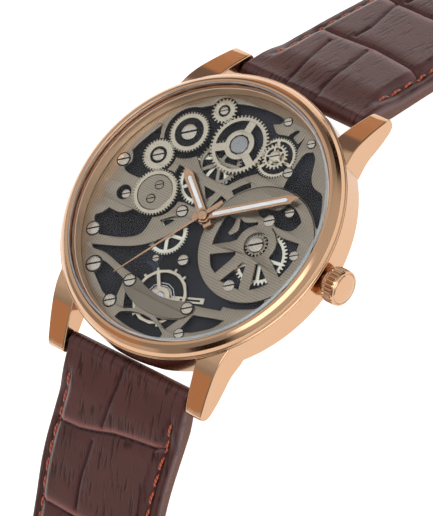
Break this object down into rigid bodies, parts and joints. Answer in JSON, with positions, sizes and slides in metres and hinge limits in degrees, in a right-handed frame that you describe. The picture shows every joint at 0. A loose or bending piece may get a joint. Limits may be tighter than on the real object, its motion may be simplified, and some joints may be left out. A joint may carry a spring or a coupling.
{
  "type": "skeleton wristwatch",
  "caption": "Round wristwatch with an open-worked dial over a wheel train, three hands, a push-pull crown and a padded leather strap with a pin buckle, unbuckled.",
  "frame": {"origin": "centre of the case back's outer flat face, where the watch meets the wrist", "axes": "+X to the crown at 3 o'clock, +Y to 12 o'clock along the strap, +Z out of the dial"},
  "size_m": [0.0451, 0.2314, 0.0409],
  "materials": {
    "rose_gold": "polished rose gold plating over steel",
    "crystal": "flat mineral glass with a ground bevel",
    "gasket": "black nitrile",
    "spacer": "moulded",
    "steel": "fine turned",
    "dark_plate": "satin blue-black",
    "plate_metal": "taupe plating with fine straight graining",
    "brass": "satin",
    "wheel_metal": "champagne plating, satin faces and bright edges",
    "black_steel": "black polished",
    "jewel": "pearly polished",
    "lume": "matte white luminous paste",
    "leather": "dark brown embossed calf, glossy, rust-coloured stitching"
  },
  "bodies": {
    "case": {"case_middle": "rose_gold", "bezel": "rose_gold", "crystal": "crystal", "crystal_gasket": "gasket", "inner_flange": "rose_gold", "case_back": "rose_gold", "back_gasket": "gasket", "movement_ring": "spacer", "crown_tube": "rose_gold", "spring_bar_12": "steel", "spring_bar_6": "steel", "base_plate": "dark_plate", "dial_plate": "plate_metal", "fan_bridge": "plate_metal", "name_plate": "plate_metal", "movement_plate": "brass", "crown_wheel_core": "plate_metal", "idler_screw": "wheel_metal", "great_wheel_jewel": "jewel", "setting_pinion_screw": "wheel_metal", "fan_screw": "wheel_metal", "hairspring": "steel"},
    "setting": {"setting_slider": "steel"},
    "crown": {"crown": "rose_gold", "winding_stem": "steel"},
    "crown_wheel": {"crown_wheel": "wheel_metal"},
    "idler_wheel": {"idler_wheel": "wheel_metal"},
    "ratchet": {"ratchet_wheel": "wheel_metal", "ratchet_collar": "black_steel", "ratchet_screw": "wheel_metal"},
    "barrel": {"mainspring_barrel": "brass", "mainspring": "steel"},
    "seconds": {"seconds_hand": "rose_gold", "seconds_post": "steel"},
    "minute": {"minute_hand": "rose_gold", "minute_lume": "lume", "minute_pipe": "brass"},
    "hour": {"hour_hand": "rose_gold", "hour_lume": "lume", "hour_pipe": "brass"},
    "great_wheel": {"great_wheel": "wheel_metal"},
    "driven_wheel": {"driven_wheel": "wheel_metal"},
    "setting_pinion": {"setting_pinion": "wheel_metal"},
    "centre_wheel": {"centre_wheel": "wheel_metal"},
    "third_wheel": {"third_wheel": "wheel_metal"},
    "fourth_wheel": {"fourth_wheel": "wheel_metal"},
    "barrel_wheel": {"barrel_wheel": "wheel_metal"},
    "fan_wheel": {"fan_wheel": "wheel_metal"},
    "balance": {"balance_wheel": "wheel_metal", "balance_staff": "steel"},
    "pallet_fork": {"pallet_fork": "steel"},
    "regulator": {"regulator_arm": "wheel_metal"},
    "strap_12": {"strap_12": "leather", "fixed_keeper": "leather"},
    "strap_6": {"strap_6": "leather"},
    "free_keeper": {"free_keeper": "leather"},
    "buckle": {"buckle_frame": "rose_gold", "buckle_bar": "steel"},
    "tongue": {"buckle_tongue": "rose_gold"}
  },
  "joints": [
    {"name": "crown_pull", "type": "slide", "parent": "case", "child": "setting", "axis": [1, 0, 0], "range_m": [0, 0.0008]},
    {"name": "crown_turn", "type": "hinge", "parent": "setting", "child": "crown", "pos_m": [0.02, 0, 0.00425], "axis": [1, 0, 0], "continuous": true},
    {"name": "crown_wheel_turn", "type": "hinge", "parent": "case", "child": "crown_wheel", "pos_m": [-0.0092, 0.0002, 0.0059], "axis": [0, 0, -1], "continuous": true},
    {"name": "idler_turn", "type": "hinge", "parent": "case", "child": "idler_wheel", "pos_m": [-0.012, 0.00501, 0.0059], "axis": [0, 0, -1], "continuous": true},
    {"name": "ratchet_turn", "type": "hinge", "parent": "case", "child": "ratchet", "pos_m": [-0.00973, 0.00963, 0.0059], "axis": [0, 0, -1], "continuous": true},
    {"name": "seconds_turn", "type": "hinge", "parent": "case", "child": "seconds", "pos_m": [0, 0, 0.0059], "axis": [0, 0, -1], "continuous": true},
    {"name": "minute_turn", "type": "hinge", "parent": "case", "child": "minute", "pos_m": [0, 0, 0.0059], "axis": [0, 0, -1], "continuous": true},
    {"name": "hour_turn", "type": "hinge", "parent": "case", "child": "hour", "pos_m": [0, 0, 0.0059], "axis": [0, 0, -1], "continuous": true},
    {"name": "barrel_turn", "type": "hinge", "parent": "case", "child": "barrel", "pos_m": [-0.00973, 0.00963, 0.0059], "axis": [0, 0, -1], "continuous": true},
    {"name": "great_wheel_turn", "type": "hinge", "parent": "case", "child": "great_wheel", "pos_m": [-0.0019, 0.0111, 0.0059], "axis": [0, 0, -1], "continuous": true},
    {"name": "driven_wheel_turn", "type": "hinge", "parent": "case", "child": "driven_wheel", "pos_m": [0.00406, 0.01175, 0.0059], "axis": [0, 0, -1], "continuous": true},
    {"name": "setting_pinion_turn", "type": "hinge", "parent": "case", "child": "setting_pinion", "pos_m": [-0.0069, 0.0144, 0.0059], "axis": [0, 0, -1], "continuous": true},
    {"name": "centre_wheel_turn", "type": "hinge", "parent": "case", "child": "centre_wheel", "pos_m": [-0.0043, 0.0048, 0.0059], "axis": [0, 0, -1], "continuous": true},
    {"name": "third_wheel_turn", "type": "hinge", "parent": "case", "child": "third_wheel", "pos_m": [-0.0033, 0.0078, 0.0059], "axis": [0, 0, -1], "continuous": true},
    {"name": "fourth_wheel_turn", "type": "hinge", "parent": "case", "child": "fourth_wheel", "pos_m": [-0.0042, -0.0041, 0.0059], "axis": [0, 0, -1], "continuous": true},
    {"name": "barrel_wheel_turn", "type": "hinge", "parent": "case", "child": "barrel_wheel", "pos_m": [0.0106, -0.0015, 0.0059], "axis": [0, 0, -1], "continuous": true},
    {"name": "fan_wheel_turn", "type": "hinge", "parent": "case", "child": "fan_wheel", "pos_m": [0.0091, -0.0002, 0.0059], "axis": [0, 0, -1], "continuous": true},
    {"name": "balance_swing", "type": "hinge", "parent": "case", "child": "balance", "pos_m": [0.0001, -0.0122, 0.0059], "axis": [0, 0, 1], "range_deg": [-150, 150], "stiffness_Nm_per_rad": 0.0000002},
    {"name": "pallet_rock", "type": "hinge", "parent": "case", "child": "pallet_fork", "pos_m": [-0.0033, -0.0087, 0.0059], "axis": [0, 0, 1], "range_deg": [-5, 5]},
    {"name": "regulator_set", "type": "hinge", "parent": "case", "child": "regulator", "pos_m": [0.0001, -0.0122, 0.0059], "axis": [0, 0, 1], "range_deg": [-8, 8]},
    {"name": "strap_12_hinge", "type": "hinge", "parent": "case", "child": "strap_12", "pos_m": [0, 0.022, 0.0016], "axis": [1, 0, 0], "range_deg": [-45, 40]},
    {"name": "strap_6_hinge", "type": "hinge", "parent": "case", "child": "strap_6", "pos_m": [0, -0.022, 0.0016], "axis": [-1, 0, 0], "range_deg": [-45, 40]},
    {"name": "free_keeper_slide", "type": "slide", "parent": "strap_12", "child": "free_keeper", "axis": [0, 1, 0], "range_m": [-0.0017, 0.0034]},
    {"name": "buckle_hinge", "type": "hinge", "parent": "strap_12", "child": "buckle", "pos_m": [0, 0.08972, -0.02942], "axis": [1, 0, 0], "range_deg": [-80, 45]},
    {"name": "tongue_hinge", "type": "hinge", "parent": "buckle", "child": "tongue", "pos_m": [0, 0.08972, -0.02942], "axis": [1, 0, 0], "range_deg": [0, 75]}
  ],
  "couplings": [
    {"joint": "crown_wheel_turn", "follows": "crown_turn", "ratio": 0.3125},
    {"joint": "idler_turn", "follows": "crown_turn", "ratio": -0.45455},
    {"joint": "ratchet_turn", "follows": "crown_turn", "ratio": 0.35714},
    {"joint": "minute_turn", "follows": "seconds_turn", "ratio": 0.016667},
    {"joint": "hour_turn", "follows": "seconds_turn", "ratio": 0.0013889},
    {"joint": "barrel_turn", "follows": "seconds_turn", "ratio": -0.0020833},
    {"joint": "great_wheel_turn", "follows": "seconds_turn", "ratio": -0.016667},
    {"joint": "driven_wheel_turn", "follows": "seconds_turn", "ratio": 0.04},
    {"joint": "setting_pinion_turn", "follows": "seconds_turn", "ratio": 0.04},
    {"joint": "centre_wheel_turn", "follows": "seconds_turn", "ratio": -0.016667},
    {"joint": "third_wheel_turn", "follows": "seconds_turn", "ratio": 0.125},
    {"joint": "fourth_wheel_turn", "follows": "seconds_turn", "ratio": -1},
    {"joint": "barrel_wheel_turn", "follows": "seconds_turn", "ratio": 0.0020833},
    {"joint": "fan_wheel_turn", "follows": "seconds_turn", "ratio": -0.1}
  ]
}
